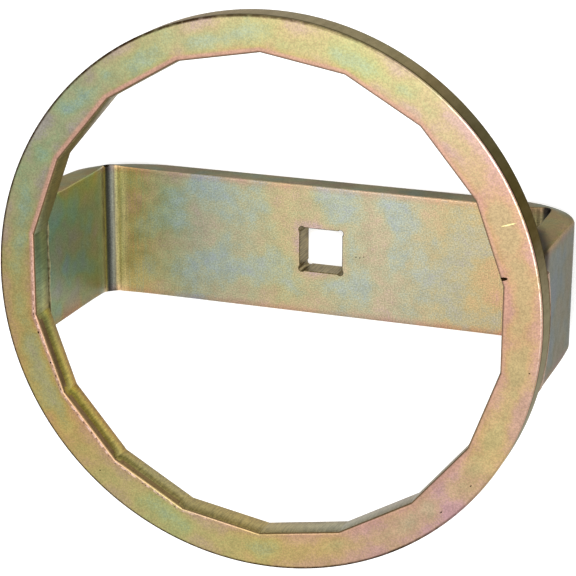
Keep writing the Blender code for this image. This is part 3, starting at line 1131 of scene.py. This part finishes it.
@dataclass
class DriveStrap:
    """The flat bar: punched while straight, then pressed into a wide U."""

    node: str = "drive_strap"
    thickness: float = 8 * MM
    outer_radius: float = 17 * MM
    inner_radius: float = 3 * MM
    inside_edge: float = 0.5 * MM
    outside_edge: float = 1.2 * MM
    hole_side: float = 13.1 * MM
    relief_radius: float = 0.95 * MM
    relief_inset: float = 0.65 * MM
    hole_break: float = 0.25 * MM
    cone_depth: float = 1.2 * MM
    draw_in: float = 1.1 * MM
    squeeze_out: float = 0.6 * MM
    pinch_share: float = 0.62
    punch_depth: float = 0.22 * MM
    punch_reach: float = 4.3 * MM
    punch_step: float = 0.5 * MM
    punch_run_out: float = 6 * MM
    shear_reach: float = 16 * MM
    fold_share: float = 0.59
    fold_size: Vector = field(default_factory=lambda: Vector((7.0, 2.2, 2.4)) * MM)
    prick_places: tuple[tuple[float, float], ...] = (
        (10.9 * MM, -0.7 * MM), (12.1 * MM, -0.8 * MM), (13.3 * MM, -0.4 * MM),
    )
    prick_size: Vector = field(default_factory=lambda: Vector((0.5, 0.4, 0.4)) * MM)
    face_slope: float = 0.7
    wall_slope: float = 0.9
    cuts_across: int = 27
    coarse_step: float = 1.6 * MM
    fine_step: float = 0.45 * MM
    fine_before: float = 6 * MM
    fine_after: float = 3 * MM
    smooth_angle: float = math.radians(32)

    def __post_init__(self) -> None:
        """Read the strap's place from the frame and work out its straight length."""
        low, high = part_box(self.node)
        self.half_width = high.y
        self.leg_outer = high.x
        self.leg_inner = self.leg_outer - self.thickness
        self.leg_end = high.z
        outer_start = self.leg_outer - self.outer_radius
        inner_start = self.leg_inner - self.inner_radius
        self.bend_start = (outer_start + inner_start) / 2
        self.bend_length = math.pi / 4 * (self.outer_radius + self.inner_radius)
        self.leg_start = (self.outer_radius + self.thickness + self.inner_radius) / 2
        self.bend_end = self.bend_start + self.bend_length
        self.half_length = self.bend_end + self.leg_end - self.leg_start
        self.start_lead = (inner_start - outer_start) / 2
        self.end_lead = (self.outer_radius - self.thickness - self.inner_radius) / 2

    def bar(self) -> bpy.types.Object:
        """Cut the straight bar to length, with all the lines that it needs to bend smoothly.

        Returns:
            The straight bar, its back on the floor.
        """
        Bench.clear()
        bpy.ops.mesh.primitive_cube_add(size=1, location=(0, 0, self.thickness / 2))
        bar = bpy.context.active_object
        bar.name = "bent_strap"
        bar.scale = (2 * self.half_length, 2 * self.half_width, self.thickness)
        bpy.ops.object.transform_apply(location=True, rotation=True, scale=True)
        Bench.open(bar)
        Bench.pick(bar, "EDGE", lambda start, end: abs(start.y - end.y) > self.half_width)
        bpy.ops.mesh.subdivide(number_cuts=self.cuts_across)
        place = 0.0
        fine_from = self.bend_start - self.fine_before
        fine_to = self.bend_end + self.fine_after
        while place < self.half_length - self.coarse_step:
            for side in (-1, 1):
                Bench.slice((side * place, 0, 0), (1, 0, 0))
            place += self.fine_step if fine_from < place < fine_to else self.coarse_step
        for level in (2 * MM, 4 * MM, 6 * MM):
            Bench.slice((0, 0, level), (0, 0, 1))
        self.round_corners(bar)
        Bench.close()
        return bar

    def round_corners(self, bar: bpy.types.Object) -> None:
        """Round the bar's long corners: sharper inside the U, softer outside."""
        for level, radius, segments in ((self.thickness, self.inside_edge, 3), (0.0, self.outside_edge, 6)):

            def on_corner(place: Vector) -> bool:
                """Tell whether a place is on a long corner at this level."""
                return abs(place.z - level) < TOUCH and abs(abs(place.y) - self.half_width) < TOUCH

            Bench.pick(bar, "EDGE", lambda start, end: on_corner(start) and on_corner(end))
            Bench.round_picked(radius, segments)

    def relief_places(self) -> list[tuple[float, float]]:
        """List where the four corner reliefs of the drive hole are drilled."""
        corner = self.hole_side / 2 - self.relief_inset
        return [(across * corner, along * corner) for along in (-1, 1) for across in (-1, 1)]

    def punch_hole(self, bar: bpy.types.Object) -> None:
        """Punch the square drive hole with its corner reliefs and break its edges."""
        height = 3 * self.thickness
        Bench.clear()
        bpy.ops.mesh.primitive_cube_add(size=1, location=(0, 0, 0))
        punch = bpy.context.active_object
        punch.scale = (self.hole_side, self.hole_side, height)
        bpy.ops.object.transform_apply(location=True, rotation=True, scale=True)
        Bench.cut(bar, punch)
        for across, along in self.relief_places():
            Bench.clear()
            bpy.ops.mesh.primitive_cylinder_add(
                vertices=24, radius=self.relief_radius, depth=height, location=(across, along, 0)
            )
            Bench.cut(bar, bpy.context.active_object)
        self.break_hole(bar, 0.0, -1)
        self.break_hole(bar, self.thickness, 1)

    def break_hole(self, bar: bpy.types.Object, level: float, facing: int) -> None:
        """Break the hole's edge on one face of the bar with a square cone and four round ones.

        Args:
            bar: The straight bar, already punched.
            level: Height of the face.
            facing: 1 for the upper face, -1 for the lower one.
        """
        cones = [(4, math.sqrt(2) * self.hole_side / 2, math.sqrt(2), (0.0, 0.0))]
        cones += [(24, self.relief_radius, 1.0, place) for place in self.relief_places()]
        half_depth = self.cone_depth / 2
        for sides, radius, stretch, (across, along) in cones:
            narrow = radius + stretch * (self.hole_break - half_depth)
            wide = radius + stretch * (self.hole_break + half_depth)
            Bench.clear()
            bpy.ops.mesh.primitive_cone_add(
                vertices=sides,
                radius1=narrow if facing > 0 else wide,
                radius2=wide if facing > 0 else narrow,
                depth=self.cone_depth,
                location=(across, along, level),
                rotation=(0, 0, math.pi / sides),
            )
            Bench.cut(bar, bpy.context.active_object)

    def is_hole_wall(self, face: bpy.types.MeshPolygon) -> bool:
        """Tell whether a face of the straight bar belongs to the hole's walls."""
        reach = self.hole_side / 2 + self.relief_radius
        return max(abs(face.center.x), abs(face.center.y)) < reach and abs(face.normal.z) < self.wall_slope

    def dress(self, bar: bpy.types.Object) -> None:
        """Give the straight bar its four finishes, each on its own faces."""
        plating = StrapPlating(self.half_width, self.leg_outer, self.hole_side / 2)
        bar.data.materials.clear()
        for material in (plating.inside(), plating.outside(), plating.sheared(), plating.hole()):
            bar.data.materials.append(material)
        for face in bar.data.polygons:
            if self.is_hole_wall(face):
                face.material_index = StrapSide.HOLE
            elif face.normal.z > self.face_slope:
                face.material_index = StrapSide.INSIDE
            elif face.normal.z < -self.face_slope:
                face.material_index = StrapSide.OUTSIDE
            else:
                face.material_index = StrapSide.SHEARED

    def bent_place(self, place: Vector) -> Vector:
        """Find where a point of the straight bar goes when the bar is bent.

        Args:
            place: Its place on the straight bar, whose back is on the floor.

        Returns:
            Its place on the bent strap.
        """
        side = math.copysign(1.0, place.x)
        run = abs(place.x)
        share = place.z / self.thickness
        swing = 2 * share - 1
        middle = self.bend_start + self.bend_length / 2
        nearness = math.exp(-(((run - middle) / (self.pinch_share * self.bend_length)) ** 2))
        narrowing = self.draw_in * (1 - share) - self.squeeze_out * share
        width = place.y * (1 - nearness * narrowing / self.half_width)
        depth = place.z - self.sunk(place, run)
        if run <= self.bend_start:
            reach = smooth_share((run - self.bend_start + self.shear_reach) / self.shear_reach)
            return Vector((side * (run + swing * self.start_lead * reach), width, depth))
        if run >= self.bend_end:
            past = run - self.bend_end
            reach = smooth_share(1 - past / self.shear_reach)
            height = self.leg_start + past - swing * self.end_lead * reach
            return Vector((side * (self.leg_outer - depth), width, height))
        turn = (run - self.bend_start) / self.bend_length * math.pi / 2
        outer = Vector((self.leg_outer - self.outer_radius, self.outer_radius))
        outer += self.outer_radius * Vector((math.sin(turn), -math.cos(turn)))
        inner = Vector((self.leg_inner - self.inner_radius, self.thickness + self.inner_radius))
        inner += self.inner_radius * Vector((math.sin(turn), -math.cos(turn)))
        across, up = outer.lerp(inner, depth / self.thickness)
        return Vector((side * across, width, up))

    def sunk(self, place: Vector, run: float) -> float:
        """Return how deep the press tool sank into the inner face beside a bend."""
        share = smooth_share((place.z / self.thickness - 0.5) * 2)
        start = self.leg_inner - self.punch_reach - self.start_lead
        step_in = smooth_share((run - start) / self.punch_step)
        run_out = smooth_share((self.bend_end - run) / self.punch_run_out)
        return self.punch_depth * share * step_in * run_out

    def bend(self, bar: bpy.types.Object) -> None:
        """Press the straight bar into its U shape."""
        for point in bar.data.vertices:
            point.co = self.bent_place(point.co)
        bar.data.update()

    def wear(self, bar: bpy.types.Object) -> None:
        """Add the fold notch at one bend's corner and three prick marks beside the hole."""
        fold = Vector((-self.bend_start, self.half_width + 0.1 * MM, self.thickness))
        fold.x -= self.fold_share * self.bend_length
        knocks = [Knock(fold, self.fold_size)]
        for across, up in self.prick_places:
            knocks.append(Knock(Vector((across, up, self.thickness)), self.prick_size))
        # The near-black bottoms of the notch and the pricks are painted shade in the recesses.
        Bench.knock(bar, knocks, NickFinish().mark("fold_notch", tone(34, 28, 18)))

    def build(self) -> bpy.types.Object:
        """Make the whole strap.

        Returns:
            The finished strap.
        """
        bar = self.bar()
        self.punch_hole(bar)
        self.dress(bar)
        self.wear(bar)
        self.bend(bar)
        Bench.settle(bar, self.smooth_angle)
        hand_in(bar, self.node)
        return bar


def smooth_share(share: float) -> float:
    """Ease a share of 0 to 1 in and out, held level beyond both ends."""
    held = min(1.0, max(0.0, share))
    return held * held * (3 - 2 * held)


@dataclass
class OuterWeld:
    """The ground-off run on the outer face of one leg."""

    node: str
    name: str
    side: int
    toe_depth: float = 0.1 * MM
    cuts: int = 40
    smooth_angle: float = math.radians(40)

    def build(self, leg_outer: float, rim_radius: float, material: bpy.types.Material) -> bpy.types.Object:
        """Make the run as a wedge, trimmed round to the ring's rim.

        Args:
            leg_outer: Distance of the leg's outer face from the middle of the wrench.
            rim_radius: Radius of the ring's rim.
            material: Finish of the run.

        Returns:
            The finished run.
        """
        low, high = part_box(self.node)
        root = min(abs(low.x), abs(high.x))
        Bench.clear()
        middle = Vector((self.side * (root + rim_radius) / 2, (low.y + high.y) / 2, (low.z + high.z) / 2))
        bpy.ops.mesh.primitive_cube_add(size=1, location=middle)
        run = bpy.context.active_object
        run.name = self.name
        run.scale = (rim_radius - root, high.y - low.y, high.z - low.z)
        bpy.ops.object.transform_apply(location=True, rotation=True, scale=True)
        Bench.open(run)
        toe = leg_outer - self.toe_depth
        Bench.pick(run, "VERT", lambda p: abs(p.x) > toe and p.z < middle.z)
        bpy.ops.transform.translate(value=(self.side * (toe - rim_radius), 0, 0))
        Bench.pick(run, "EDGE", lambda start, end: abs(start.y - end.y) > LONG_EDGE)
        bpy.ops.mesh.subdivide(number_cuts=self.cuts)
        Bench.close()
        bpy.ops.mesh.primitive_cylinder_add(vertices=288, radius=rim_radius, depth=0.3)
        Bench.cut(run, bpy.context.active_object, "INTERSECT")
        run.data.materials.clear()
        run.data.materials.append(material)
        Bench.settle(run, self.smooth_angle)
        hand_in(run, self.node)
        return run


@dataclass
class InnerWeld:
    """The thin lumpy root run in the corner between one leg and the ring's back."""

    node: str
    name: str
    side: int
    cuts: int = 90
    lump: float = 0.35 * MM
    smooth_angle: float = math.radians(60)

    def build(self, material: bpy.types.Material) -> bpy.types.Object:
        """Make the run as a quarter of a long bead with lumps along it.

        Args:
            material: Finish of the run.

        Returns:
            The finished run.
        """
        low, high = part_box(self.node)
        radius = high.z - low.z
        corner = high.x if self.side > 0 else low.x
        Bench.clear()
        bpy.ops.mesh.primitive_cylinder_add(
            vertices=24,
            radius=radius,
            depth=high.y - low.y,
            location=(corner, (low.y + high.y) / 2, high.z),
            rotation=(math.pi / 2, 0, 0),
        )
        run = bpy.context.active_object
        run.name = self.name
        bpy.ops.object.transform_apply(location=True, rotation=True, scale=True)
        Bench.open(run)
        Bench.pick(run, "EDGE", lambda start, end: abs(start.y - end.y) > LONG_EDGE)
        bpy.ops.mesh.subdivide(number_cuts=self.cuts)
        for place, facing in (((0, 0, high.z), (0, 0, 1)), ((corner, 0, 0), (self.side, 0, 0))):
            bpy.ops.mesh.select_all(action="SELECT")
            bpy.ops.mesh.bisect(plane_co=place, plane_no=facing, clear_outer=True, use_fill=True)
        Bench.close()
        self.lump_up(run, corner, high.z)
        run.data.materials.clear()
        run.data.materials.append(material)
        Bench.settle(run, self.smooth_angle)
        hand_in(run, self.node)
        return run

    def lump_up(self, run: bpy.types.Object, corner: float, top: float) -> None:
        """Shrink the bead towards its corner by a different amount at each place along it."""
        chance = random.Random(self.side + 7)
        waves = [(chance.uniform(0.8, 4.0) * MM, chance.uniform(0, 2 * math.pi)) for _ in range(6)]
        for point in run.data.vertices:
            ripple = sum(math.sin(point.co.y / length + phase) for length, phase in waves) / len(waves)
            share = 1 - self.lump / (1 * MM) * (0.6 + ripple)
            point.co.x = corner + (point.co.x - corner) * share
            point.co.z = top + (point.co.z - top) * share


# ---------------------------------------------------------------------------------------------
# The studio.


@dataclass
class Studio:
    """A pale floor, soft light and the camera."""

    aim: Vector = field(default_factory=lambda: Vector((-2.4, -5.2, 29.5)) * MM)
    distance: float = 607 * MM
    turn: float = math.radians(20.0)
    rise: float = math.radians(17.9)
    roll: float = math.radians(0.25)
    lens: float = 132.5
    floor_size: float = 12.0
    floor_gap: float = 0.05 * MM
    floor_tone: float = 0.9
    floor_roughness: float = 0.9
    floor_glow: float = 0.3
    tent_strength: float = 0.80
    panel_size: float = 0.6
    panel_power: float = 4.0
    panel_place: Vector = field(default_factory=lambda: Vector((0.12, 0.16, 0.62)))
    panel_target: Vector = field(default_factory=lambda: Vector((0, 0, 0.03)))

    def camera(self) -> None:
        """Place the camera in front of the ring, a little to the right of it and above."""
        back = Vector((math.sin(self.turn) * math.cos(self.rise), math.sin(self.rise), 0))
        back.z = math.cos(self.turn) * math.cos(self.rise)
        right = Vector((0, 1, 0)).cross(back).normalized()
        up = back.cross(right)
        turned_right = right * math.cos(self.roll) + up * math.sin(self.roll)
        turned_up = up * math.cos(self.roll) - right * math.sin(self.roll)
        data = bpy.data.cameras.new("camera")
        data.lens = self.lens
        data.clip_start = 0.01
        camera = bpy.data.objects.new("camera", data)
        bpy.context.scene.collection.objects.link(camera)
        pose = Matrix((turned_right, turned_up, back)).transposed().to_4x4()
        pose.translation = self.aim + back * self.distance
        camera.matrix_world = pose
        bpy.context.scene.camera = camera

    def floor(self) -> None:
        """Lay the pale floor just under the strap's back."""
        Bench.clear()
        low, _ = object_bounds()
        bpy.ops.mesh.primitive_plane_add(size=self.floor_size, location=(0, 0, low.z - self.floor_gap))
        floor = bpy.context.active_object
        floor.name = "studio_floor"
        material = bpy.data.materials.new("pale_floor")
        material.use_nodes = True
        shader = material.node_tree.nodes["Principled BSDF"]
        shader.inputs["Base Color"].default_value = (*[self.floor_tone] * 3, 1.0)
        shader.inputs["Roughness"].default_value = self.floor_roughness
        shader.inputs["Specular IOR Level"].default_value = 0.0
        shader.inputs["Emission Color"].default_value = (1.0, 1.0, 1.0, 1.0)
        shader.inputs["Emission Strength"].default_value = self.floor_glow
        floor.data.materials.append(material)
        floor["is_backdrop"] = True

    def panel(self) -> None:
        """Hang one soft light panel over the ring's top right."""
        data = bpy.data.lights.new("overhead_panel", "AREA")
        data.shape = "RECTANGLE"
        data.size = self.panel_size
        data.size_y = self.panel_size
        data.energy = self.panel_power
        light = bpy.data.objects.new("overhead_panel", data)
        bpy.context.scene.collection.objects.link(light)
        light.location = self.panel_place
        light.rotation_euler = (self.panel_target - self.panel_place).to_track_quat("-Z", "Y").to_euler()

    def tent(self) -> None:
        """Light the wrench softly from all round."""
        world = bpy.data.worlds.new("soft_tent")
        world.use_nodes = True
        tent = world.node_tree.nodes["Background"]
        tent.inputs["Color"].default_value = (1.0, 1.0, 1.0, 1.0)
        tent.inputs["Strength"].default_value = self.tent_strength
        bpy.context.scene.world = world

    def build(self) -> None:
        """Set up the whole studio."""
        scene = bpy.context.scene
        scene.view_settings.view_transform = "Standard"
        self.camera()
        self.floor()
        self.tent()
        self.panel()


def main() -> None:
    """Build every piece of the wrench, then the studio round it."""
    logging.basicConfig(level=logging.INFO, format="%(name)s: %(message)s")
    ring = SocketRing()
    ring.build()
    strap = DriveStrap()
    strap.build()
    welds = WeldPlating()
    ground = welds.run("ground_weld_plating", tone(160, 138, 120), tone(132, 112, 92))
    rough = welds.run("root_weld_plating", tone(190, 186, 150), tone(130, 126, 96))
    for word, side in (("left", -1), ("right", 1)):
        outer = OuterWeld(f"outer_weld_{word}", f"ground_weld_{word}", side)
        outer.build(strap.leg_outer, ring.rim_radius, ground)
        InnerWeld(f"inner_weld_{word}", f"root_weld_{word}", side).build(rough)
    Studio().build()


if __name__ == "__main__":
    main()
